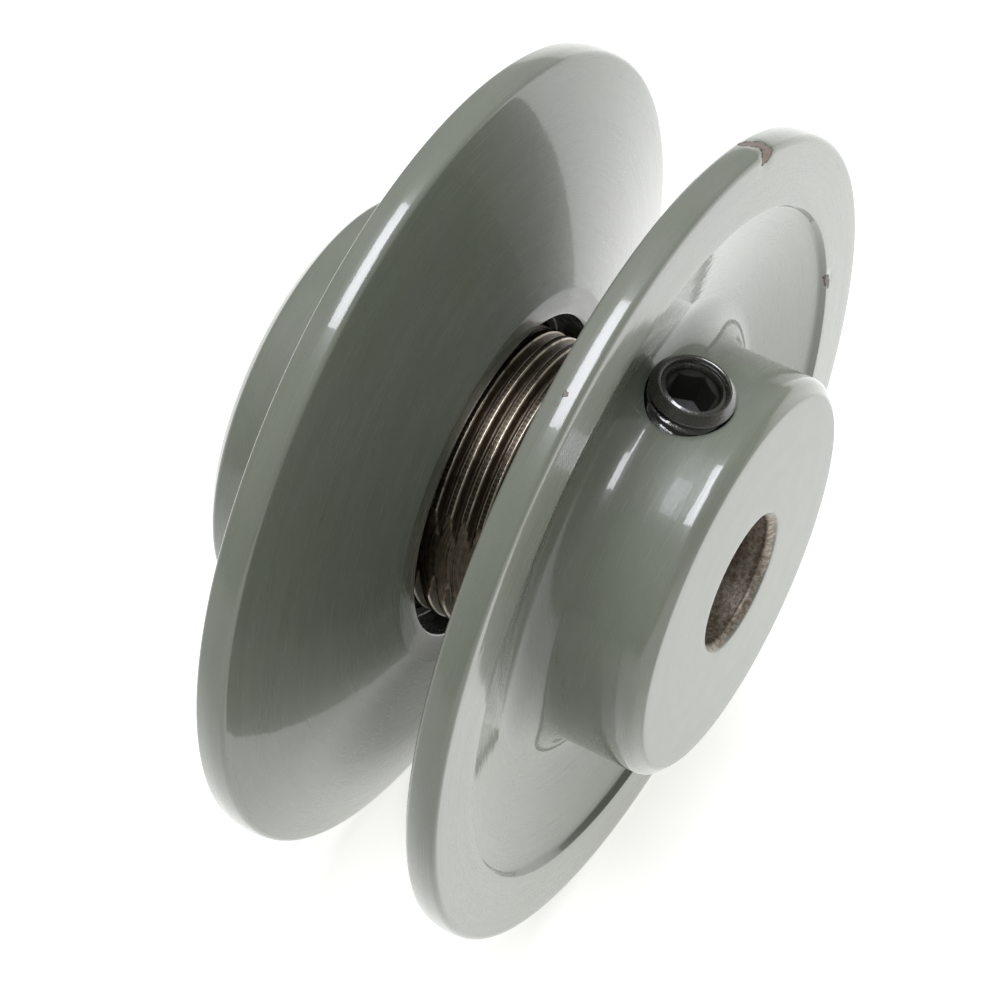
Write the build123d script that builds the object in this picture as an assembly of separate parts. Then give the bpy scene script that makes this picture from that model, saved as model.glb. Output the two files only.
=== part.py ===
from build123d import *

import math
import os

# Variable-pitch V-belt pulley for a small motor shaft.
# Frame: origin on the bore axis at the outer end face of the fixed half's hub,
# +Y along the axis from that face towards the adjustable half, +Z up.
# Millimetres. "t" is an angle about the axis, from +X towards +Z.

# ---- driving dimensions --------------------------------------------------
OD_R = 40.0  # rim radius, 3.15 in over the rims
BORE_R = 6.35  # 1/2 in motor shaft
BORE_EDGE = 0.45  # broken edge at each end of the bore
GROOVE_SLOPE = 0.24  # axial rise per mm of radius, a 27 degree groove
CROWN_RISE = 0.27  # rim crown over half the rim's width
CROWN_R = 3.5
RIM_EDGE_R = 0.65
RIM_W = 3.09

# fixed half
HUB_R = 19.64
HUB_FACE_R = 18.41
HUB_CHAMFER = 0.95
FIX_ANNULUS_Y = 8.53
RECESS_R = 33.2
RECESS_DEPTH = 0.67
WEB_FILLET = 3.2
BARREL_R = 14.2875  # 1-1/8 in thread
BARREL_ROOT_R = 13.56
BARREL_END_Y = 42.9
RELIEF_R = 13.35
BARREL_START_Y = 19.1  # end of the relief beside the flange
PITCH = 1.5875  # 16 threads per inch
FLAT_DIST = 13.34  # flats on the barrel, from the axis
FLAT_T = 168.7  # first flat, degrees; the other is opposite

# adjustable half, at rest four turns out from fully closed
ADJ_RIM_Y = 29.63  # groove side of the rim
ADJ_HUB_R = 20.69
ADJ_END_Y = 44.57
ADJ_HOLE_R = 16.14  # clearance counterbore on the groove side
ADJ_COUNTERBORE_Y = 28.45
ADJ_FACING_R = 18.9  # flat facing round the hole
ADJ_THREAD_CREST_R = 14.42  # cut oversize, so that it slides past the barrel
ADJ_THREAD_ROOT_R = 15.15

# set screws, 5/16-18 with a hexagon socket and a cup point
SCREW_R = 3.97
SCREW_ROOT_R = 3.20
SCREW_PITCH = 25.4 / 18
SCREW_HOLE_R = 4.07  # plain hole that stands for the tapped one
SOCKET_AF = 3.97
SHAFT_SCREW_LEN = 12.7
SHAFT_SCREW_PROUD = 2.25
SHAFT_SCREW_T = 85.6
SHAFT_SCREW_Y = 7.3  # where its axis leaves the hub
SHAFT_SCREW_TILT = 12.7  # leans away from the flange, so that a drill clears the rim
LOCK_SCREW_LEN = 6.35
LOCK_SCREW_T = FLAT_T - 180.0
LOCK_SCREW_Y = 37.6
LOCK_SCREW_GAP = 0.05  # between its point and the flat


# ---- helpers -------------------------------------------------------------
def direction(t):
    """Unit radial vector at angle t."""
    return Vector(math.cos(math.radians(t)), 0, math.sin(math.radians(t)))


def profile(corners):
    """Closed face in the r-y plane from (r, y, fillet radius) corners."""
    n = len(corners)
    ends = []
    for i, (r, y, rad) in enumerate(corners):
        p = Vector(r, y)
        a = Vector(*corners[i - 1][:2]) - p
        b = Vector(*corners[(i + 1) % n][:2]) - p
        if rad <= 0:
            ends.append((p, None, p))
            continue
        u, v = a.normalized(), b.normalized()
        half = math.acos(max(-1.0, min(1.0, u.dot(v)))) / 2
        reach = rad / math.tan(half)
        mid = p + (u + v).normalized() * (rad / math.sin(half) - rad)
        ends.append((p + u * reach, mid, p + v * reach))
    edges = []
    for i in range(n):
        start, mid, end = ends[i]
        if mid is not None:
            edges.append(Edge.make_three_point_arc(start, mid, end))
        edges.append(Edge.make_line(end, ends[(i + 1) % n][0]))
    return Face(Wire(edges))


def lathe(corners):
    """Solid of revolution about the bore axis."""
    return revolve(profile(corners), Axis.Y, 360)


def helical_ridge(pitch, turns, inner_r, outer_r, inner_w, outer_w):
    """One thread ridge: a trapezoid on a right-hand helix about +Z, starting on +X at z 0."""
    path = Helix(pitch=pitch, height=pitch * turns, radius=(inner_r + outer_r) / 2)
    section = Plane.XZ * make_face(
        Polyline(
            (inner_r, -inner_w / 2),
            (outer_r, -outer_w / 2),
            (outer_r, outer_w / 2),
            (inner_r, inner_w / 2),
            close=True,
        )
    )
    return sweep(section, path=path, is_frenet=True)


TO_Y = Rotation(-90, 0, 0)  # turns +Z to +Y and keeps +X


def cylinder_along(point, axis, radius, low, high):
    """Cylinder along axis, from low to high measured from point."""
    plane = Plane(origin=point + axis * low, z_dir=axis)
    return extrude(plane * Circle(radius), high - low)


def set_screw(length, socket_depth):
    """Cup-point set screw along +Z, its top face at z 0."""
    top_r, cup_r, chamfer = 3.30, 2.2, 1.0
    head_z, tip_z = -chamfer - 0.65, -length + 0.95
    head = [
        (0, 0),
        (top_r, 0),
        (SCREW_R, -chamfer),
        (SCREW_R, -chamfer - 0.2),
        (SCREW_ROOT_R, head_z),
        (0, head_z),
    ]
    point = [
        (0, tip_z),
        (SCREW_ROOT_R, tip_z),
        (cup_r + 0.2, -length),
        (cup_r, -length),
        (0, -length + 1.1),
    ]
    core = Pos(0, 0, tip_z) * Rot(0, 0, 37) * Solid.make_cylinder(SCREW_ROOT_R, head_z - tip_z)
    flank = (SCREW_PITCH - 0.2 - 0.18) / (SCREW_R - SCREW_ROOT_R)
    root_w = 0.2 + flank * (SCREW_R - SCREW_ROOT_R + 0.1)
    ridge = helical_ridge(
        SCREW_PITCH,
        (head_z - tip_z - root_w - 0.1) / SCREW_PITCH,
        SCREW_ROOT_R - 0.1,
        SCREW_R,
        root_w,
        0.2,
    )
    screw = core + Pos(0, 0, tip_z + root_w / 2 + 0.05) * ridge
    screw += revolve(Plane.XZ * make_face(Polyline(*head, close=True)), Axis.Z, 360)
    screw += revolve(Plane.XZ * make_face(Polyline(*point, close=True)), Axis.Z, 360)
    socket = extrude(
        Pos(0, 0, -socket_depth) * RegularPolygon(SOCKET_AF / 2, 6, major_radius=False),
        socket_depth + 1,
    )
    tip = Plane.XZ * make_face(
        Polyline(
            (0, -socket_depth - 0.9),
            (1.9, -socket_depth + 0.02),
            (0, -socket_depth + 0.02),
            close=True,
        )
    )
    sink = Plane.XZ * make_face(
        Polyline((0, 0.3), (3.15, 0.3), (2.85, 0.0), (2.0, -0.62), (0, -0.62), close=True)
    )
    screw -= socket
    screw -= revolve(tip, Axis.Z, 360)
    screw -= revolve(sink, Axis.Z, 360)
    return screw


def placed(shape, top, axis, across):
    """Put a shape built along +Z with its origin at top and +Z along axis."""
    return Plane(origin=top, x_dir=across, z_dir=axis).location * shape


# ---- fixed half: hub, flange and threaded barrel in one casting -------------
def fixed_face(r):
    """Groove face of the fixed flange."""
    return FIX_ANNULUS_Y + RIM_W + GROOVE_SLOPE * (39.1 - r)


def fixed_web(r):
    """Outer face of the fixed flange's web, inside the recess."""
    return FIX_ANNULUS_Y + RECESS_DEPTH + GROOVE_SLOPE * (RECESS_R - r)


corner_r = OD_R - 0.22
crown = CROWN_RISE / (RIM_W / 2)
apex_r = OD_R + CROWN_R * (math.sqrt(1 + crown * crown) - 1)

fixed_half = lathe(
    [
        (BORE_R, BORE_EDGE, 0.0),
        (BORE_R + BORE_EDGE, 0, 0.0),
        (HUB_FACE_R, 0, 0.5),
        (HUB_R, HUB_CHAMFER, 0.6),
        (HUB_R, fixed_web(HUB_R), WEB_FILLET),
        (RECESS_R - 0.15, fixed_web(RECESS_R - 0.15), 0.35),
        (RECESS_R + 0.1, FIX_ANNULUS_Y, 0.15),
        (corner_r, FIX_ANNULUS_Y, RIM_EDGE_R),
        (apex_r, FIX_ANNULUS_Y + RIM_W / 2, CROWN_R),
        (corner_r, fixed_face(corner_r), RIM_EDGE_R),
        (RELIEF_R, fixed_face(RELIEF_R), 0.5),
        (RELIEF_R, BARREL_START_Y, 0.0),
        (BORE_R, BARREL_START_Y, 0.0),
    ]
)

CREST_W, VALLEY_W = 0.56, 0.20
CREST_Y = 22.70  # a crest line passes +X here
thread_flank = (PITCH - CREST_W - VALLEY_W) / (BARREL_R - BARREL_ROOT_R)
thread_root_w = CREST_W + thread_flank * (BARREL_R - BARREL_ROOT_R + 0.1)
thread_start_y = BARREL_START_Y + 0.9
thread_end_y = BARREL_END_Y - 0.6 - 0.9
barrel = lathe(
    [
        (BORE_R, BARREL_START_Y, 0.0),
        (BARREL_ROOT_R, BARREL_START_Y, 0.0),
        (BARREL_ROOT_R, BARREL_END_Y - 0.6, 0.0),
        (BARREL_ROOT_R - 0.6, BARREL_END_Y, 0.0),
        (BORE_R + BORE_EDGE, BARREL_END_Y, 0.0),
        (BORE_R, BARREL_END_Y - BORE_EDGE, 0.0),
    ]
)
flats = []
for t in (FLAT_T, FLAT_T - 180):
    out = direction(t)
    side = Plane(
        origin=out * FLAT_DIST + Vector(0, BARREL_START_Y - 1, 0), x_dir=(0, 1, 0), z_dir=out
    )
    flats.append(side * Box(30, 16, 4, align=(Align.MIN, Align.CENTER, Align.MIN)))

# the thread runs between the flats as arcs of one helix, y falling as t grows
flat_edge = math.degrees(math.acos(FLAT_DIST / BARREL_R))
arc_span = 180 - 2 * flat_edge + 10
arcs = []
for arc_t in (FLAT_T - flat_edge + 5, FLAT_T + 180 - flat_edge + 5):
    arc = Rot(0, -arc_t, 0) * TO_Y * helical_ridge(
        PITCH,
        arc_span / 360,
        BARREL_ROOT_R - 0.1,
        BARREL_R,
        thread_root_w,
        CREST_W,
    )
    lead = CREST_Y - PITCH * arc_t / 360
    lead += math.ceil((thread_start_y - lead) / PITCH) * PITCH
    arc = Pos(0, lead, 0) * arc
    for flat in flats:
        arc -= flat
    count = int((thread_end_y - PITCH * arc_span / 360 - lead) / PITCH) + 1
    arcs += [Pos(0, n * PITCH, 0) * arc for n in range(count)]

barrel = Rot(0, -FLAT_T, 0) * barrel  # its seam lies in a flat
for flat in flats:
    barrel -= flat
barrel = barrel + arcs

fixed_half += barrel

tilt = math.radians(SHAFT_SCREW_TILT)
screw_out = direction(SHAFT_SCREW_T) * math.cos(tilt) - Vector(0, 1, 0) * math.sin(tilt)
screw_base = direction(SHAFT_SCREW_T) * HUB_R + Vector(0, SHAFT_SCREW_Y, 0)
fixed_half -= cylinder_along(screw_base, screw_out, SCREW_HOLE_R, -16.5, 4)


# ---- adjustable half: flange and hub, screwed on the barrel -----------------
def adj_face(r):
    """Groove face of the adjustable flange."""
    return ADJ_RIM_Y - GROOVE_SLOPE * (39.12 - r)


ADJ_BACK_Y = ADJ_RIM_Y + RIM_W


def adj_web(r):
    """Back of the adjustable flange's web, inside the recess."""
    return ADJ_BACK_Y - RECESS_DEPTH - GROOVE_SLOPE * (RECESS_R - r)


adjustable_half = lathe(
    [
        (ADJ_THREAD_ROOT_R, ADJ_COUNTERBORE_Y, 0.0),
        (ADJ_HOLE_R, ADJ_COUNTERBORE_Y, 0.3),
        (ADJ_HOLE_R, adj_face(ADJ_FACING_R), 0.3),
        (ADJ_FACING_R, adj_face(ADJ_FACING_R), 0.8),
        (corner_r, adj_face(corner_r), RIM_EDGE_R),
        (apex_r, ADJ_RIM_Y + RIM_W / 2, CROWN_R),
        (corner_r + 0.03, ADJ_BACK_Y, 0.45),
        (RECESS_R + 0.1, ADJ_BACK_Y, 0.15),
        (RECESS_R - 0.15, adj_web(RECESS_R - 0.15), 0.35),
        (ADJ_HUB_R, adj_web(ADJ_HUB_R), WEB_FILLET),
        (ADJ_HUB_R, ADJ_END_Y - HUB_CHAMFER, 0.6),
        (ADJ_HUB_R - 1.23, ADJ_END_Y, 0.5),
        (ADJ_THREAD_ROOT_R + 0.6, ADJ_END_Y, 0.0),
        (ADJ_THREAD_ROOT_R, ADJ_END_Y - 0.6, 0.0),
    ]
)
inner_start_y = ADJ_COUNTERBORE_Y + 0.9
inner_end_y = ADJ_END_Y - 0.6 - 0.9
inner_ridge = helical_ridge(
    PITCH,
    (inner_end_y - inner_start_y) / PITCH,
    ADJ_THREAD_CREST_R,
    ADJ_THREAD_ROOT_R + 0.1,
    0.30,
    0.30 + thread_flank * (ADJ_THREAD_ROOT_R - ADJ_THREAD_CREST_R + 0.1),
)
# its ridges sit over the barrel's valleys
inner_turn = (inner_start_y - CREST_Y - PITCH / 2) / PITCH * 360
adjustable_half = Rot(0, inner_turn + 143, 0) * adjustable_half
adjustable_half += Rot(0, inner_turn, 0) * Pos(0, inner_start_y, 0) * TO_Y * inner_ridge

lock_out = direction(LOCK_SCREW_T)
lock_base = Vector(0, LOCK_SCREW_Y, 0)
adjustable_half -= cylinder_along(lock_base, lock_out, SCREW_HOLE_R, 13.0, 24.0)


# ---- set screws ---------------------------------------------------------------
shaft_set_screw = placed(
    set_screw(SHAFT_SCREW_LEN, 4.6),
    screw_base + screw_out * SHAFT_SCREW_PROUD,
    screw_out,
    (-math.sin(math.radians(SHAFT_SCREW_T)), 0, math.cos(math.radians(SHAFT_SCREW_T))),
)
pitch_lock_screw = placed(
    set_screw(LOCK_SCREW_LEN, 3.0),
    lock_base + lock_out * (FLAT_DIST + LOCK_SCREW_GAP + LOCK_SCREW_LEN),
    lock_out,
    (0, 1, 0),
)

# ---- one file for each piece ------------------------------------------------------
os.makedirs("parts", exist_ok=True)
pieces = {
    "fixed_half": fixed_half,
    "adjustable_half": adjustable_half,
    "shaft_set_screw": shaft_set_screw,
    "pitch_lock_screw": pitch_lock_screw,
}
for name, shape in pieces.items():
    solids = shape.solids()
    keep = solids[0] if len(solids) == 1 else Compound(children=solids)
    export_step(keep, f"parts/{name}.step")
    box = keep.bounding_box()
    print(
        name,
        len(solids),
        "solid(s)",
        round(sum(s.volume for s in solids), 1),
        "mm3, valid",
        all(s.is_valid for s in solids),
        [round(v, 2) for v in (*box.min, *box.max)],
    )
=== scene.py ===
import math

import bmesh
import bpy
import numpy as np
from mathutils import Matrix, Vector


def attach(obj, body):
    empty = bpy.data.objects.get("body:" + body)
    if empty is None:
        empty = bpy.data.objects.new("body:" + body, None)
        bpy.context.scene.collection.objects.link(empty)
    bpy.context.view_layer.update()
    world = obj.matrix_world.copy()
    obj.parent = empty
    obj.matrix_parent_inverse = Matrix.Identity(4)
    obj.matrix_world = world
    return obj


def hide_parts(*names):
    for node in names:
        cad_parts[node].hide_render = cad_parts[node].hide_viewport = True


# Variable-pitch V-belt pulley. The looks of the four CAD solids: two castings and
# two set screws. Meshes are worked out in millimetres and made in metres.
# "t" is an angle about the bore axis, from +X towards +Z.

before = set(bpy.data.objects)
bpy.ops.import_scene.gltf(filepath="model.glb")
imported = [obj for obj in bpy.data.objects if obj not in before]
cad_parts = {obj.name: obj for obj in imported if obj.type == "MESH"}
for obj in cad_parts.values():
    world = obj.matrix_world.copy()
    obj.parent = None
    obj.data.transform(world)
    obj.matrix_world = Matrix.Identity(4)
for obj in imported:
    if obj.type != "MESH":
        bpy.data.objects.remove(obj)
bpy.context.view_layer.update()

MM = 0.001

# ---- dimensions, the same as the CAD model's -------------------------------
SLOPE = 0.24
BORE_R = 6.35
HUB_R = 19.64
RECESS_R = 33.2
PITCH = 1.5875
BARREL_R = 14.2875
BARREL_ROOT_R = 13.56
BARREL_START_Y = 19.1
BARREL_END_Y = 42.9
FLAT_DIST = 13.34
FLAT_T = 168.7
CREST_Y = 22.70
FACING_R = 18.9
CORNER_R = 39.78
APEX_R = 40.04


def fixed_face(r):
    return 11.62 + SLOPE * (39.1 - r)


def fixed_web(r):
    return 9.2 + SLOPE * (RECESS_R - r)


def adj_face(r):
    return 29.63 - SLOPE * (39.12 - r)


def adj_web(r):
    return 32.05 - SLOPE * (RECESS_R - r)


# ---- mesh helpers -----------------------------------------------------------
def outline(corners, step=1.0, arc_deg=10.0, closed=True):
    """Dense (r, y) points of an outline given as (r, y, fillet radius) corners."""
    n = len(corners)
    ends = []
    for i, (r, y, rad) in enumerate(corners):
        p = np.array([r, y], float)
        if rad <= 0:
            ends.append([p])
            continue
        a = np.array(corners[i - 1][:2], float) - p
        b = np.array(corners[(i + 1) % n][:2], float) - p
        u, v = a / np.linalg.norm(a), b / np.linalg.norm(b)
        half = math.acos(max(-1.0, min(1.0, float(u @ v)))) / 2
        reach = rad / math.tan(half)
        centre = p + (u + v) / np.linalg.norm(u + v) * rad / math.sin(half)
        s, e = p + u * reach - centre, p + v * reach - centre
        a0, a1 = math.atan2(s[1], s[0]), math.atan2(e[1], e[0])
        turn = (a1 - a0 + math.pi) % (2 * math.pi) - math.pi
        k = max(3, math.ceil(abs(turn) / math.radians(arc_deg)))
        ends.append(
            [
                centre
                + rad
                * np.array([math.cos(a0 + turn * j / k), math.sin(a0 + turn * j / k)])
                for j in range(k + 1)
            ]
        )
    out = []
    for i in range(n if closed else n - 1):
        out += ends[i]
        p, q = ends[i][-1], ends[(i + 1) % n][0]
        k = max(1, math.ceil(float(np.linalg.norm(q - p)) / step))
        out += [p + (q - p) * j / k for j in range(1, k)]
    if not closed:
        out += ends[-1]
    return np.array(out)


def angles(n, extra=()):
    """n even angles in degrees with some extra ones, sorted, from 0 to under 360."""
    even = [360.0 * i / n for i in range(n)]
    more = [a % 360 for a in extra]
    kept = [a for a in even if all(abs((a - m + 180) % 360 - 180) > 0.22 for m in more)]
    return np.array(sorted(kept + more))


def faces_of(rows, cols, first=0, wrap=True):
    """Quads of a grid whose columns go round; rows don't wrap."""
    out = []
    last = cols if wrap else cols - 1
    for i in range(rows - 1):
        a, b = first + i * cols, first + (i + 1) * cols
        for j in range(last):
            k = (j + 1) % cols
            out.append((a + j, b + j, b + k, a + k))
    return out


def ring_points(rows, ts):
    """Points of a lathe grid in mm, from (r, y) rows and angles in degrees."""
    a = np.radians(ts)
    r, y = rows[:, 0][:, None], rows[:, 1][:, None]
    return np.stack(
        [r * np.cos(a), np.broadcast_to(y, (len(rows), len(ts))), r * np.sin(a)], -1
    )


def build(name, patches, weld=0.0004):
    """One closed mesh object from grids of points in mm: [(points, wrap), ...]."""
    verts, faces = [], []
    at = 0
    for pts, wrap in patches:
        rows, cols = pts.shape[:2]
        verts.append(pts.reshape(-1, 3))
        faces += faces_of(rows, cols, at, wrap)
        at += rows * cols
    mesh = bpy.data.meshes.new(name)
    mesh.from_pydata((np.concatenate(verts) * MM).tolist(), [], faces)
    bm = bmesh.new()
    bm.from_mesh(mesh)
    bmesh.ops.remove_doubles(bm, verts=bm.verts, dist=weld * MM)
    bmesh.ops.dissolve_degenerate(bm, dist=weld * MM, edges=bm.edges)
    bmesh.ops.recalc_face_normals(bm, faces=bm.faces)
    bm.to_mesh(mesh)
    bm.free()
    obj = bpy.data.objects.new(name, mesh)
    bpy.context.scene.collection.objects.link(obj)
    return obj


def cut(obj, cutter):
    """Take cutter out of obj for good."""
    m = obj.modifiers.new("cut", "BOOLEAN")
    m.operation, m.object, m.solver = "DIFFERENCE", cutter, "EXACT"
    bpy.context.view_layer.update()
    done = bpy.data.meshes.new_from_object(
        obj.evaluated_get(bpy.context.evaluated_depsgraph_get())
    )
    obj.modifiers.clear()
    old = obj.data
    obj.data = done
    done.name = old.name + "_cut"
    bpy.data.meshes.remove(old)
    bpy.data.objects.remove(cutter)
    return obj


def smooth(obj, degrees=32):
    obj.data.polygons.foreach_set("use_smooth", [True] * len(obj.data.polygons))
    obj.data.set_sharp_from_angle(angle=math.radians(degrees))
    obj.data.update()


def unit(v):
    v = np.array(v, float)
    return v / np.linalg.norm(v)


def radial(t):
    return np.array([math.cos(math.radians(t)), 0.0, math.sin(math.radians(t))])


def axes_for(axis, across):
    """Rows are the x, y and z directions of a piece whose own +Z is axis."""
    z = unit(axis)
    x = unit(np.array(across, float) - z * (np.array(across, float) @ z))
    return np.array([x, np.cross(z, x), z])


# ---- threads -----------------------------------------------------------------
# One pitch of thread as (distance from the crest's middle, share of the depth).
BARREL_FORM = [
    (0.0, 1.0),
    (0.21, 1.0),
    (0.27, 0.975),
    (0.31, 0.91),
    (0.48, 0.52),
    (0.66, 0.07),
    (0.71, 0.0),
]
INNER_FORM = [(0.0, 1.0), (0.13, 1.0), (0.19, 0.93), (0.36, 0.55), (0.56, 0.06), (0.62, 0.0)]


def form_rows(form, pitch):
    """The whole pitch, from one crest's middle to just before the next."""
    rows = list(form) + [(pitch - d, s) for d, s in reversed(form) if d > 0]
    return rows


def thread_grid(form, pitch, lead, low, high, ts, root_r, crest_r, fade=0.7, flats=False):
    """Sheared rows that follow a right-hand helix, held between two heights."""
    rows = form_rows(form, pitch)
    first = math.floor((low - lead) / pitch) - 1
    last = math.ceil((high - lead) / pitch) + 2
    col_t = np.append(ts, 360.0)
    pts = []
    for n in range(first, last):
        for d, s in rows:
            y = lead + n * pitch + d - pitch * col_t / 360.0
            inside = np.clip(np.minimum(y - low, high - y) / fade, 0, 1)
            ease = inside * inside * (3 - 2 * inside)
            r = root_r + (crest_r - root_r) * s * ease
            y = np.clip(y, low, high)
            pts.append(np.stack([r, y], -1))
    pts = np.array(pts)
    r, y = pts[..., 0], pts[..., 1]
    if flats:
        r = flatten(r, col_t[None, :])
    a = np.radians(col_t)[None, :]
    return np.stack([r * np.cos(a), y, r * np.sin(a)], -1)


def flatten(r, t):
    """Radii held to the barrel's two flats."""
    for flat_t in (FLAT_T, FLAT_T - 180):
        away = np.radians((t - flat_t + 180) % 360 - 180)
        near = np.abs(away) < math.radians(60)
        limit = FLAT_DIST / np.cos(np.where(near, away, 0))
        r = np.where(near, np.minimum(r, limit), r)
    return r


# ---- the fixed half --------------------------------------------------------------
SHAFT_T, SHAFT_Y, TILT, PROUD = 85.6, 7.3, 12.7, 2.25
LOCK_T, LOCK_Y, LOCK_GAP = FLAT_T - 180.0, 37.6, 0.05
flat_marks = [
    f + s * a
    for f in (FLAT_T, FLAT_T - 180)
    for a in (20.97, 10.34, 15.5, 19.0, 13.0)
    for s in (-1, 1)
]
# finer steps where the paint is chipped, so that the chips have real shape
chip_marks = list(np.arange(61.0, 69.0, 0.4)) + list(np.arange(4.5, 11.0, 0.45))
fixed_ts = angles(180, flat_marks + chip_marks)

fixed_rows = outline(
    [
        (BORE_R, 0.75, 0.5),
        (BORE_R + 0.62, 0, 0.35),
        (18.41, 0, 0.5),
        (HUB_R, 0.95, 1.2),
        (HUB_R, fixed_web(HUB_R), 3.2),
        (RECESS_R - 0.2, fixed_web(RECESS_R - 0.2), 0.50),
        (RECESS_R + 0.15, 8.53, 0.14),
        (CORNER_R, 8.53, 0.65),
        (APEX_R, 10.075, 3.5),
        (CORNER_R, fixed_face(CORNER_R), 0.65),
        (13.30, fixed_face(13.30), 0.5),
        (13.30, BARREL_START_Y, 0),
        (BARREL_ROOT_R, BARREL_START_Y, 0),
    ],
    closed=False,
)
tail_rows = outline(
    [
        (BARREL_ROOT_R, 42.3, 0),
        (12.96, BARREL_END_Y, 0),
        (BORE_R + 0.45, BARREL_END_Y, 0),
        (BORE_R, BARREL_END_Y - 0.45, 0),
        (BORE_R, 1.6, 0),
    ],
    step=1.6,
    closed=False,
)
# the open ends of the two outlines meet on the bore's wall
fixed_rows = np.concatenate([np.array([[BORE_R, 1.6]]), fixed_rows])


fixed_pts = ring_points(fixed_rows, fixed_ts)
CHIPS = [
    # (t, r, y, size along t, along r, along y, depth)
    (64.6, 39.95, 10.1, 1.3, 0.9, 0.9, 0.10),
    (65.1, 39.5, 8.75, 1.3, 0.7, 0.7, 0.13),
    (8.0, 33.55, 8.55, 1.2, 0.3, 0.3, 0.12),
    (113.7, 39.98, 9.9, 0.4, 0.3, 0.3, 0.05),
]
for i, (t, r, y, st, sr, sy, depth) in enumerate(CHIPS):
    here = radial(t) * r + np.array([0, y, 0])
    e_r, e_t = radial(t), radial(t + 90)
    basis = np.array([e_t, e_r, [0, 1, 0]])
    local = (fixed_pts - here) @ basis.T
    w = np.clip(1.35 - np.linalg.norm(local / np.array([st, sr, sy]), axis=-1), 0, 1)
    w = w * w * (3 - 2 * w)
    fixed_pts += (w * depth)[..., None] * (-e_r * 0.6 + np.array([0, 0.75, 0]))

start = fixed_pts[-1]
r_tail = flatten(
    np.broadcast_to(tail_rows[:, 0][:, None], (len(tail_rows), len(fixed_ts))).copy(),
    fixed_ts[None, :],
)
a = np.radians(fixed_ts)[None, :]
tail_pts = np.stack(
    [
        r_tail * np.cos(a),
        np.broadcast_to(tail_rows[:, 1][:, None], r_tail.shape),
        r_tail * np.sin(a),
    ],
    -1,
)
r_start = flatten(np.full(len(fixed_ts), BARREL_ROOT_R), fixed_ts)
fixed_pts[-1] = np.stack(
    [r_start * np.cos(a[0]), np.full(len(fixed_ts), BARREL_START_Y), r_start * np.sin(a[0])], -1
)
barrel_pts = thread_grid(
    BARREL_FORM,
    PITCH,
    CREST_Y,
    BARREL_START_Y,
    42.3,
    fixed_ts,
    BARREL_ROOT_R,
    BARREL_R,
    fade=0.9,
    flats=True,
)
bore_join = np.concatenate([tail_pts[-1:], fixed_pts[:1]])
fixed = build(
    "fixed_half_casting",
    [(fixed_pts, True), (barrel_pts, False), (tail_pts, True), (bore_join, True)],
)


def screw_axis():
    tilt = math.radians(TILT)
    return radial(SHAFT_T) * math.cos(tilt) - np.array([0, 1, 0]) * math.sin(tilt)


def pin(name, base, axis, low, high, r, sides=72, flare=None):
    """A closed cutter along axis from base. flare is (depth, extra radius) at its high end."""
    basis = axes_for(axis, (0, 1, 0) if abs(axis[1]) < 0.9 else (1, 0, 0))
    rows = [(0.0, low), (r, low), (r, high), (0.0, high)]
    if flare:
        d, more = flare
        rows = [(0.0, low), (r, low), (r, d), (r + more, d + more), (r + more, high), (0.0, high)]
    t = np.radians(np.linspace(0, 360, sides, endpoint=False))
    pts = np.array([[(q * math.cos(x), q * math.sin(x), h) for x in t] for q, h in rows])
    return build(name, [(pts @ basis + np.array(base), True)])


out_1 = screw_axis()
base_1 = radial(SHAFT_T) * HUB_R + np.array([0, SHAFT_Y, 0])
cut(fixed, pin("hole_1", base_1, out_1, -16.5, 4.0, 4.02))
smooth(fixed)

# ---- the adjustable half ------------------------------------------------------------
inner_lead = CREST_Y + PITCH / 2
adj_ts = angles(252)
adj_rows = outline(
    [
        (15.15, 28.45, 0),
        (16.14, 28.45, 0.3),
        (16.14, adj_face(FACING_R), 0.3),
        (FACING_R, adj_face(FACING_R), 0.8),
        (CORNER_R, adj_face(CORNER_R), 0.65),
        (APEX_R, 31.175, 3.5),
        (CORNER_R + 0.03, 32.72, 0.45),
        (RECESS_R + 0.1, 32.72, 0.15),
        (RECESS_R - 0.15, adj_web(RECESS_R - 0.15), 0.35),
        (20.69, adj_web(20.69), 3.2),
        (20.69, 43.62, 0.6),
        (19.46, 44.57, 0.5),
        (15.75, 44.57, 0),
        (15.15, 43.97, 0),
    ],
    closed=False,
)
inner_pts = thread_grid(
    INNER_FORM,
    PITCH,
    inner_lead,
    28.45,
    43.97,
    adj_ts,
    15.15,
    14.42,
    fade=0.9,
)
adjustable = build(
    "adjustable_half_casting",
    [(ring_points(adj_rows, adj_ts), True), (inner_pts, False)],
)
out_2 = radial(LOCK_T)
base_2 = np.array([0, LOCK_Y, 0])
cut(adjustable, pin("hole_2", base_2, out_2, 13.0, 24.0, 4.07))
smooth(adjustable)


# ---- set screws ---------------------------------------------------------------------
SCREW_PITCH = 25.4 / 18
SCREW_FORM = [(0.0, 1.0), (0.07, 1.0), (0.12, 0.94), (0.33, 0.5), (0.52, 0.06), (0.58, 0.0)]


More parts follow.
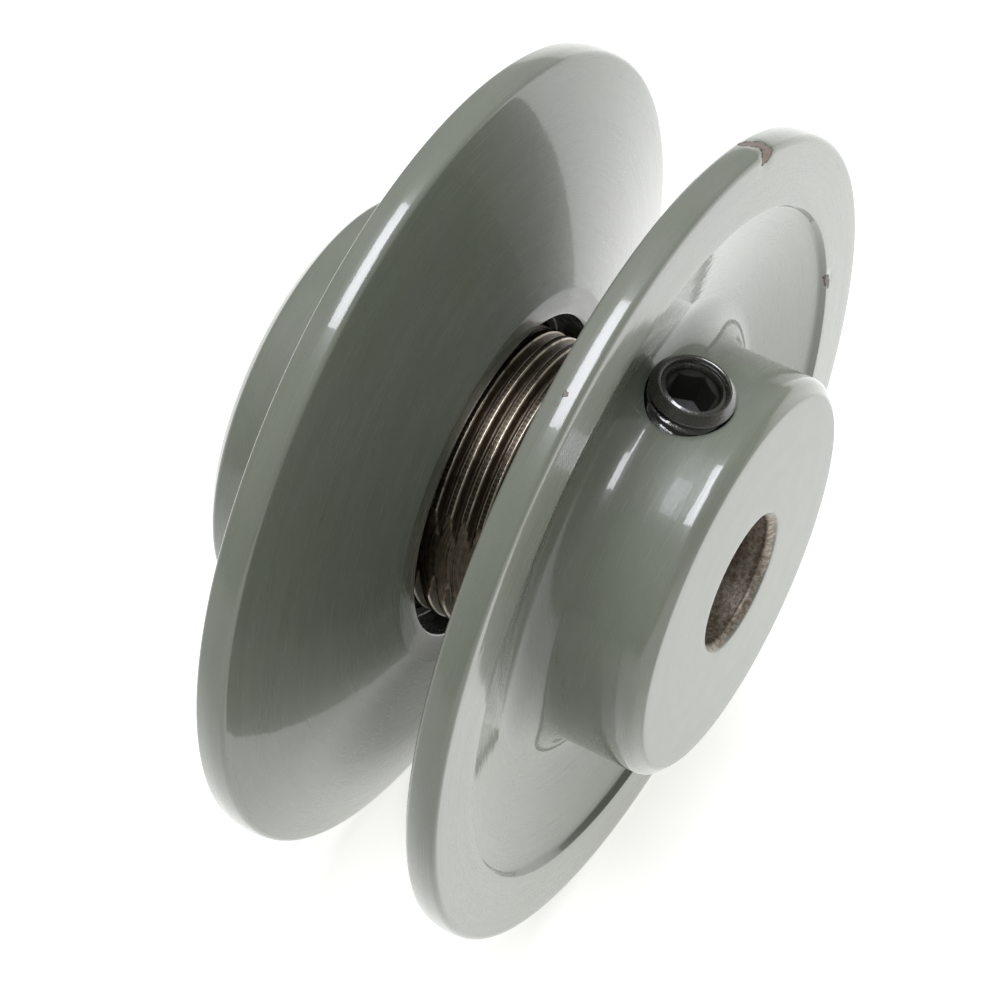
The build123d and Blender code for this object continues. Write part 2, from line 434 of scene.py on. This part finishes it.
def set_screw(name, length, depth, top, axis, across):
    """A cup-point set screw with a hexagon socket, its top face at top."""
    ts = angles(120, [60 * i for i in range(6)] + [30 + 60 * i for i in range(6)])
    rad = np.radians(ts)
    inradius = 3.97 / 2
    hexagon = inradius / np.cos(np.radians((ts - 30 + 30) % 60 - 30))
    # corners pulled in a little, as a broached socket's are
    hexagon = np.minimum(hexagon, 2.27)
    ones = np.ones(len(ts))

    def ring(r, z):
        return np.stack([r * np.cos(rad), r * np.sin(rad), z * np.ones(len(ts))], -1)

    crest, root = 3.97, 3.20
    head = outline(
        [(2.90, 0.0, 0.36), (3.30, 0.0, 0.16), (crest, -0.78, 0.12), (crest, -0.96, 0.08), (root, -1.36, 0)],
        step=0.4,
        arc_deg=15,
        closed=False,
    )
    # the head's outline starts on the countersink's edge
    upper = [ring(r * ones, z) for r, z in head]
    sink = -0.95 - 0.75 * (2.42 - hexagon)
    inner = [
        ring(0 * ones, -depth - 0.85),
        ring(hexagon * 0.45, -depth - 0.42),
        ring(hexagon * 0.93, -depth - 0.02),
        ring(hexagon, -depth * ones),
        ring(hexagon, -depth * 0.66 * ones),
        ring(hexagon, -depth * 0.33 * ones),
        ring(hexagon, sink - 0.06),
        ring(hexagon + 0.03, sink - 0.01),
        ring(2.34 * ones, -0.97),
        ring(2.38 * ones, -0.84),
        ring(2.49 * ones, -0.56),
        ring(2.62 * ones, -0.32),
    ]
    body = np.array(inner + upper)
    tip = -length + 0.95
    wound = thread_grid(
        SCREW_FORM, SCREW_PITCH, tip + 0.10, tip, -1.36, ts, root, crest, fade=0.30
    )
    # the thread's grid is made round +Y, so it's turned to stand on +Z
    wound = np.stack([wound[..., 0], wound[..., 2], wound[..., 1]], -1)
    point = outline(
        [(root, tip, 0), (2.4, -length, 0.05), (2.2, -length, 0.05), (0.0, -length + 1.1, 0)],
        step=0.5,
        closed=False,
    )
    lower = np.array([ring(r * ones, z) for r, z in point])
    basis = axes_for(axis, across)
    patches = [
        (p @ basis + np.array(top), w) for p, w in ((body, True), (wound, False), (lower, True))
    ]
    obj = build(name, patches)
    smooth(obj, 35)
    return obj


across_1 = (-math.sin(math.radians(SHAFT_T)), 0, math.cos(math.radians(SHAFT_T)))
top_1 = base_1 + out_1 * PROUD
screw_1 = set_screw("shaft_set_screw_body", 12.7, 4.6, top_1, out_1, across_1)
top_2 = base_2 + out_2 * (FLAT_DIST + LOCK_GAP + 6.35)
screw_2 = set_screw("pitch_lock_screw_body", 6.35, 3.0, top_2, out_2, (0, 1, 0))

# ---- what each piece stands for, and what it moves with ---------------------------------
bodies = {
    "fixed_half": fixed,
    "adjustable_half": adjustable,
    "shaft_set_screw": screw_1,
    "pitch_lock_screw": screw_2,
}
for node, obj in bodies.items():
    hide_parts(node)
    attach(obj, node)


# ---- materials --------------------------------------------------------------------
class Graph:
    """Short names for the shader nodes used here."""

    def __init__(self, name):
        self.mat = bpy.data.materials.new(name)
        self.mat.use_nodes = True
        self.tree = self.mat.node_tree
        self.tree.nodes.clear()
        self.out = self.tree.nodes.new("ShaderNodeOutputMaterial")
        self.bsdf = self.tree.nodes.new("ShaderNodeBsdfPrincipled")
        self.tree.links.new(self.bsdf.outputs[0], self.out.inputs[0])

    def put(self, socket, value):
        if isinstance(value, bpy.types.NodeSocket):
            self.tree.links.new(value, socket)
        elif value is not None:
            if hasattr(socket.default_value, "__len__") and not hasattr(value, "__len__"):
                value = [value] * len(socket.default_value)
            if hasattr(value, "__len__") and len(value) == 3 and len(socket.default_value) == 4:
                value = tuple(value) + (1.0,)
            socket.default_value = value

    def set(self, name, value):
        self.put(self.bsdf.inputs[name], value)

    def math(self, op, a, b=None, c=None, clamp=False):
        n = self.tree.nodes.new("ShaderNodeMath")
        n.operation, n.use_clamp = op, clamp
        for i, v in enumerate((a, b, c)):
            if v is not None:
                self.put(n.inputs[i], v)
        return n.outputs[0]

    def vec(self, x=0.0, y=0.0, z=0.0):
        n = self.tree.nodes.new("ShaderNodeCombineXYZ")
        for i, v in enumerate((x, y, z)):
            self.put(n.inputs[i], v)
        return n.outputs[0]

    def vmath(self, op, a, b=None, scale=None):
        n = self.tree.nodes.new("ShaderNodeVectorMath")
        n.operation = op
        self.put(n.inputs[0], a)
        if b is not None:
            self.put(n.inputs[1], b)
        if scale is not None:
            self.put(n.inputs["Scale"], scale)
        return n.outputs["Value"] if op in ("LENGTH", "DISTANCE", "DOT_PRODUCT") else n.outputs[0]

    def noise(self, vector, scale, detail=2.0, rough=0.5, distort=0.0):
        n = self.tree.nodes.new("ShaderNodeTexNoise")
        self.put(n.inputs["Vector"], vector)
        n.inputs["Scale"].default_value = scale
        n.inputs["Detail"].default_value = detail
        n.inputs["Roughness"].default_value = rough
        n.inputs["Distortion"].default_value = distort
        return n.outputs[0]

    def voronoi(self, vector, scale, feature="F1"):
        n = self.tree.nodes.new("ShaderNodeTexVoronoi")
        n.feature = feature
        self.put(n.inputs["Vector"], vector)
        n.inputs["Scale"].default_value = scale
        return n.outputs["Distance"]

    def ramp(self, value, low, high, to_low=0.0, to_high=1.0):
        n = self.tree.nodes.new("ShaderNodeMapRange")
        n.interpolation_type = "SMOOTHSTEP"
        for i, v in enumerate((value, low, high, to_low, to_high)):
            self.put(n.inputs[i], v)
        return n.outputs[0]

    def mix(self, fac, a, b):
        n = self.tree.nodes.new("ShaderNodeMix")
        n.data_type = "RGBA"
        self.put(n.inputs[0], fac)
        self.put(n.inputs[6], a)
        self.put(n.inputs[7], b)
        return n.outputs[2]

    def mixf(self, fac, a, b):
        n = self.tree.nodes.new("ShaderNodeMix")
        n.data_type = "FLOAT"
        self.put(n.inputs[0], fac)
        self.put(n.inputs[2], a)
        self.put(n.inputs[3], b)
        return n.outputs[0]

    def shade(self, colour, value):
        """Colour times a number."""
        return self.vmath("SCALE", colour, scale=value)

    def bump(self, height, distance, strength=1.0, under=None):
        n = self.tree.nodes.new("ShaderNodeBump")
        self.put(n.inputs["Height"], height)
        n.inputs["Distance"].default_value = distance
        self.put(n.inputs["Strength"], strength)
        if under is not None:
            self.put(n.inputs["Normal"], under)
        return n.outputs[0]

    def object_mm(self):
        """The object's own coordinates in millimetres, as a vector and as x, y, z."""
        c = self.tree.nodes.new("ShaderNodeTexCoord")
        v = self.vmath("SCALE", c.outputs["Object"], scale=1000.0)
        s = self.tree.nodes.new("ShaderNodeSeparateXYZ")
        self.put(s.inputs[0], v)
        return v, s.outputs[0], s.outputs[1], s.outputs[2]


ENAMEL = (0.190, 0.212, 0.165)


def casting(name, bare_inside, thread_r, thread_low, chips=()):
    """Grey-green enamel over cast iron, with bare machined metal where the tool cut."""
    g = Graph(name)
    p, x, y, z = g.object_mm()
    r = g.math("SQRT", g.math("ADD", g.math("MULTIPLY", x, x), g.math("MULTIPLY", z, z)))
    cos_t, sin_t = g.math("DIVIDE", x, r), g.math("DIVIDE", z, r)

    # marks that run round the axis, as a lathe tool leaves them
    along = g.math("ADD", r, g.math("MULTIPLY", y, 0.83))
    round_fine = g.noise(
        g.vec(g.math("MULTIPLY", along, 3.0), g.math("MULTIPLY", cos_t, 3.5), g.math("MULTIPLY", sin_t, 3.5)),
        1.0, 1.0, 0.5,
    )
    round_soft = g.noise(
        g.vec(g.math("MULTIPLY", along, 0.55), g.math("MULTIPLY", cos_t, 3.0), g.math("MULTIPLY", sin_t, 3.0)),
        1.0, 2.0, 0.5,
    )
    orange_peel = g.noise(p, 1.1, 3.0, 0.55)
    grain = g.noise(p, 9.0, 2.0, 0.6)
    blotch = g.noise(p, 0.09, 3.0, 0.5)

    # enamel colour: slow drift between green and grey, a little dust in the grain
    enamel = g.mix(g.ramp(blotch, 0.35, 0.65), ENAMEL, (0.200, 0.214, 0.178))
    enamel = g.shade(enamel, g.ramp(grain, 0.2, 0.8, 0.93, 1.06))
    enamel = g.shade(enamel, g.ramp(round_soft, 0.3, 0.7, 0.96, 1.04))

    # bare metal: brown-grey iron with rust-brown grains and dark oil; on the thread this colour also carries
    # painted shade and painted highlight lines
    iron = g.mix(
        g.ramp(g.noise(p, 2.2, 4.0, 0.65), 0.35, 0.68), (0.24, 0.19, 0.14), (0.52, 0.48, 0.41)
    )
    iron = g.shade(iron, g.ramp(grain, 0.25, 0.75, 0.75, 1.2))
    turned = g.noise(
        g.vec(g.math("MULTIPLY", along, 16.0), g.math("MULTIPLY", cos_t, 2.5), g.math("MULTIPLY", sin_t, 2.5)),
        1.0, 2.0, 0.5,
    )
    oil_and_painted_light = g.mix(g.ramp(turned, 0.35, 0.7), (0.060, 0.045, 0.029), (0.125, 0.100, 0.068))
    oil_and_painted_light = g.shade(oil_and_painted_light, g.ramp(g.noise(p, 1.3, 3.0, 0.6), 0.3, 0.7, 0.7, 1.15))
    # noise that breaks up the painted highlight lines along the crest edges
    highlight_breakup = g.noise(
        g.vec(
            g.math("MULTIPLY", along, 1.2),
            g.math("MULTIPLY", cos_t, 9.0),
            g.math("MULTIPLY", sin_t, 9.0),
        ),
        1.0, 2.0, 0.6,
    )
    flat_way = radial(FLAT_T)
    across = g.math(
        "ADD", g.math("MULTIPLY", x, float(flat_way[0])), g.math("MULTIPLY", z, float(flat_way[2]))
    )
    off_flat = g.ramp(g.math("ABSOLUTE", across), FLAT_DIST - 0.02, FLAT_DIST - 0.08)
    # pale metal colour on the rounded edges of the thread's crests: painted highlight lines
    crest_edge_highlight = g.math("MULTIPLY", g.ramp(r, 14.08, 14.21), g.ramp(r, 14.287, 14.276))
    crest_edge_highlight = g.math("MULTIPLY", g.math("MULTIPLY", crest_edge_highlight, off_flat), g.ramp(highlight_breakup, 0.25, 0.5, 0.25, 1.0))
    # crest tops darkened to less than half, and the thread darker towards its root: painted shade on the thread
    crest = g.math("MULTIPLY", g.ramp(r, 14.276, 14.285), off_flat)
    oil_and_painted_light = g.shade(oil_and_painted_light, g.mixf(crest, 1.0, 0.45))
    oil_and_painted_light = g.shade(oil_and_painted_light, g.mixf(g.ramp(r, 13.62, 14.0), 0.8, 1.0))
    oil_and_painted_light = g.mix(crest_edge_highlight, oil_and_painted_light, (0.66, 0.59, 0.47))

    # where the paint stops, with a ragged edge
    ragged = g.math("SUBTRACT", g.noise(p, 1.7, 3.0, 0.6), 0.5)
    masks = []
    if bare_inside:
        edge = g.math("ADD", r, g.math("MULTIPLY", ragged, 1.1))
        masks.append(g.ramp(edge, 6.95, 6.75))
    edge_r = g.math("ADD", r, g.math("MULTIPLY", ragged, 0.5))
    edge_y = g.math("ADD", y, g.math("MULTIPLY", ragged, 0.6))
    thread = g.math(
        "MULTIPLY",
        g.ramp(edge_r, thread_r + 0.08, thread_r - 0.08),
        g.ramp(edge_y, thread_low - 0.1, thread_low + 0.1),
    )
    bare = masks[0] if masks else None
    chipped = None
    inner = None
    torn = g.math("SUBTRACT", g.noise(p, 3.2, 2.0, 0.6), 0.5)
    for cx, cy, cz, size in chips:
        d = g.vmath("DISTANCE", p, (cx, cy, cz))
        d = g.math("ADD", d, g.math("MULTIPLY", torn, size * 1.3))
        m = g.ramp(d, size * 1.03, size * 0.97)
        k = g.ramp(d, size * 0.88, size * 0.70)
        chipped = m if chipped is None else g.math("MAXIMUM", chipped, m)
        inner = k if inner is None else g.math("MAXIMUM", inner, k)

    colour = enamel
    metal = g.math("MULTIPLY", thread, 0.85)
    rough = g.math(
        "ADD", 0.26, g.math("MULTIPLY", g.math("SUBTRACT", round_fine, 0.5), 0.10)
    )
    hub_face = g.math("MULTIPLY", g.ramp(r, 18.75, 18.45), g.ramp(y, 0.35, 0.15))
    rough = g.mixf(hub_face, rough, g.math("ADD", 0.40, g.math("MULTIPLY", g.math("SUBTRACT", grain, 0.5), 0.2)))
    coat = g.math("SUBTRACT", 1.0, thread)
    if bare is not None:
        colour = g.mix(bare, colour, iron)
        metal = g.math("MAXIMUM", metal, g.math("MULTIPLY", bare, 0.8))
        rough = g.mixf(bare, rough, 0.5)
        coat = g.math("MULTIPLY", coat, g.math("SUBTRACT", 1.0, bare))
    colour = g.mix(thread, colour, oil_and_painted_light)
    rough = g.mixf(thread, rough, g.ramp(turned, 0.3, 0.7, 0.26, 0.42))
    if chipped is not None:
        # each chip shows flaked bare iron in its middle, ringed by a dark band that is a painted shadow of the
        # paint's torn edge
        flake = g.mix(g.ramp(grain, 0.3, 0.7), (0.17, 0.135, 0.105), (0.30, 0.255, 0.21))
        colour = g.mix(chipped, colour, g.mix(inner, (0.045, 0.038, 0.028), flake))
        rough = g.mixf(chipped, rough, 0.6)
        coat = g.math("MULTIPLY", coat, g.math("SUBTRACT", 1.0, chipped))
    coat = g.math("MULTIPLY", coat, g.mixf(hub_face, 0.85, 0.75))

    g.set("Base Color", colour)
    g.set("Metallic", metal)
    g.set("Roughness", rough)
    g.set("Coat Weight", coat)
    g.bsdf.inputs["Coat Roughness"].default_value = 0.035
    g.bsdf.inputs["Coat IOR"].default_value = 1.52
    g.bsdf.inputs["IOR"].default_value = 1.5

    painted = g.math("SUBTRACT", 1.0, g.math("MAXIMUM", thread, bare if bare is not None else 0.0))
    b = g.bump(round_soft, 0.00012, g.math("MULTIPLY", painted, 0.13))
    b = g.bump(round_fine, 0.00003, g.math("MULTIPLY", painted, 0.12), b)
    b = g.bump(orange_peel, 0.00004, 0.12, b)
    b = g.bump(grain, 0.00003, g.mixf(painted, 0.8, g.mixf(hub_face, 0.02, 0.5)), b)
    b = g.bump(turned, 0.00004, g.math("MULTIPLY", thread, 0.6), b)
    g.set("Normal", b)
    g.tree.links.new(b, g.bsdf.inputs["Coat Normal"])
    return g.mat


def oxide(name, top, axis):
    """Oiled black-oxide steel, dull inside the socket, where its colour is darkened as painted shade."""
    g = Graph(name)
    p, x, y, z = g.object_mm()
    fine = g.noise(p, 7.0, 3.0, 0.6)
    patch = g.noise(p, 0.9, 3.0, 0.6)
    colour = g.mix(g.ramp(patch, 0.35, 0.7), (0.009, 0.0085, 0.0055), (0.022, 0.020, 0.0135))
    colour = g.shade(colour, g.ramp(fine, 0.3, 0.7, 0.8, 1.25))
    rel = g.vmath("SUBTRACT", p, tuple(float(v) for v in top))
    deep = g.vmath("DOT_PRODUCT", rel, tuple(float(v) for v in axis))
    out = g.vmath("LENGTH", g.vmath("SUBTRACT", rel, g.vmath("SCALE", tuple(float(v) for v in axis), scale=deep)))
    # inside the socket: colour darkened as painted shade, with a rougher surface and no coat
    socket_shade_and_dull = g.math("MULTIPLY", g.ramp(out, 2.44, 2.34), g.ramp(deep, -0.7, -1.1))
    colour = g.shade(colour, g.mixf(socket_shade_and_dull, 1.0, 0.8))
    g.set("Base Color", colour)
    g.bsdf.inputs["Metallic"].default_value = 0.0
    g.set("Roughness", g.mixf(socket_shade_and_dull, g.ramp(fine, 0.25, 0.75, 0.15, 0.30), 0.6))
    g.bsdf.inputs["Specular IOR Level"].default_value = 1.0
    g.set("Coat Weight", g.mixf(socket_shade_and_dull, 0.9, 0.0))
    g.bsdf.inputs["Coat Roughness"].default_value = 0.07
    g.bsdf.inputs["Coat IOR"].default_value = 1.75
    g.set("Normal", g.bump(fine, 0.00005, 0.6, g.bump(patch, 0.0001, 0.25)))
    return g.mat


def place(t, r, y, size):
    c = radial(t) * r
    return (float(c[0]), y, float(c[2]), size)


fixed.data.materials.clear()
fixed.data.materials.append(
    casting(
        "enamelled_iron_fixed",
        True,
        14.6,
        17.75,
        [
            place(65.9, 39.9, 10.85, 0.50),
            place(65.0, 39.93, 10.35, 0.68),
            place(64.0, 39.93, 9.75, 0.66),
            place(64.1, 39.75, 9.05, 0.66),
            place(65.0, 39.45, 8.75, 0.72),
            place(66.0, 39.2, 8.65, 0.55),
            place(9.2, 33.4, 8.6, 0.34),
            place(8.2, 33.5, 8.6, 0.40),
            place(7.0, 33.6, 8.55, 0.40),
            place(6.0, 33.7, 8.55, 0.28),
            place(-10.5, 39.55, 8.65, 0.30),
            place(-11.6, 39.65, 8.75, 0.24),
            place(-9.0, 39.6, 8.7, 0.18),
            place(113.7, 39.98, 9.9, 0.26),
            place(115.2, 39.98, 10.2, 0.16),
            place(165.9, 19.64, 8.55, 0.16),
        ],
    )
)
adjustable.data.materials.clear()
adjustable.data.materials.append(
    casting("enamelled_iron_adjustable", False, 16.0, 24.6, [])
)
for obj, name, top, axis in (
    (screw_1, "black_oxide_long", top_1, out_1),
    (screw_2, "black_oxide_short", top_2, out_2),
):
    obj.data.materials.clear()
    obj.data.materials.append(oxide(name, top, axis))


# ---- floor, light and camera ----------------------------------------------------------
def plain(name, colour, rough, glow):
    """Pale and matt, and it glows. The glow is turned down towards the front and the left as painted shade, and
    below the groove as a painted shadow.
    """
    g = Graph(name)
    p, x, y, z = g.object_mm()
    front = g.math("ADD", g.math("MULTIPLY", x, -0.861), g.math("MULTIPLY", y, -0.508))
    left = g.math("ADD", g.math("MULTIPLY", x, -0.585), g.math("MULTIPLY", y, 0.811))
    painted_floor_shade = g.math(
        "MULTIPLY", g.ramp(front, 24.0, 80.0, 1.0, 0.45), g.ramp(left, 76.0, 150.0, 1.0, 0.5)
    )
    # a painted shadow under the groove, between the flanges
    u = g.math("DIVIDE", g.math("SUBTRACT", x, 2.0), 24.0)
    v = g.math("DIVIDE", g.math("SUBTRACT", y, 21.0), 12.0)
    away = g.math("SQRT", g.math("ADD", g.math("MULTIPLY", u, u), g.math("MULTIPLY", v, v)))
    painted_floor_shade = g.math("MULTIPLY", painted_floor_shade, g.ramp(away, 0.5, 1.0, 0.35, 1.0))
    g.set("Base Color", colour)
    g.bsdf.inputs["Roughness"].default_value = rough
    g.bsdf.inputs["Specular IOR Level"].default_value = 0.1
    g.set("Emission Color", (1, 1, 0.97))
    g.set("Emission Strength", g.math("MULTIPLY", painted_floor_shade, glow))
    return g.mat


floor_mesh = bpy.data.meshes.new("floor")
bm = bmesh.new()
bmesh.ops.create_circle(bm, cap_ends=True, segments=96, radius=2.5)
bm.to_mesh(floor_mesh)
bm.free()
floor = bpy.data.objects.new("floor", floor_mesh)
bpy.context.scene.collection.objects.link(floor)
floor.location = (0, 0, -0.0401)
floor_mesh.materials.append(plain("floor_white", (0.62, 0.62, 0.60), 0.95, 0.75))


def softbox(name, toward, distance, width, height, power, colour=(1, 1, 1), aim=(0, 0.02, 0)):
    data = bpy.data.lights.new(name, "AREA")
    data.shape, data.size, data.size_y = "RECTANGLE", width, height
    data.energy, data.color = power, colour
    obj = bpy.data.objects.new(name, data)
    bpy.context.scene.collection.objects.link(obj)
    d = Vector(toward).normalized()
    obj.location = Vector(aim) + d * distance
    obj.rotation_mode = "QUATERNION"
    side = Vector((1, 0, 0)) - d * d.x
    side.normalize()
    across = d.cross(side)
    obj.rotation_quaternion = Matrix((side, across, d)).transposed().to_quaternion()
    return obj


softbox("key", (-0.03, 0.0325, 0.99), 1.0, 0.66, 0.365, 7.0, (0.985, 1.0, 1.08))
softbox("fill", (-0.15, -0.26, 0.96), 1.0, 0.36, 0.20, 1.8, (0.985, 1.0, 1.08))


world = bpy.data.worlds.new("studio")
world.use_nodes = True
sky = world.node_tree.nodes["Background"]
sky.inputs[0].default_value = (1.0, 1.0, 0.94, 1)
way = world.node_tree.nodes.new("ShaderNodeTexCoord")
dot = world.node_tree.nodes.new("ShaderNodeVectorMath")
dot.operation = "DOT_PRODUCT"
dot.inputs[1].default_value = (0.861, 0.508, 0.0)
fall = world.node_tree.nodes.new("ShaderNodeMapRange")
for i, v in ((1, -0.7), (2, 0.3), (3, 0.19), (4, 0.35)):
    fall.inputs[i].default_value = v
world.node_tree.links.new(way.outputs["Generated"], dot.inputs[0])
world.node_tree.links.new(dot.outputs["Value"], fall.inputs[0])
world.node_tree.links.new(fall.outputs[0], sky.inputs[1])
bpy.context.scene.world = world
bpy.context.scene.view_settings.view_transform = "Standard"
bpy.context.scene.view_settings.look = "None"

cam = bpy.data.cameras.new("camera")
cam.sensor_width, cam.lens = 36.0, 117.97
cam.clip_start, cam.clip_end = 0.01, 20.0
camera = bpy.data.objects.new("camera", cam)
bpy.context.scene.collection.objects.link(camera)
right = Vector((0.50639, -0.86230, 0.0)).normalized()
back = Vector((-0.54048, -0.31740, 0.77919)).normalized()
up = back.cross(right).normalized()
right = up.cross(back).normalized()
camera.matrix_world = Matrix.Translation((-0.16653, -0.07239, 0.23613)) @ Matrix(
    ((right.x, up.x, back.x), (right.y, up.y, back.y), (right.z, up.z, back.z))
).to_4x4()
bpy.context.scene.camera = camera

bpy.context.view_layer.update()
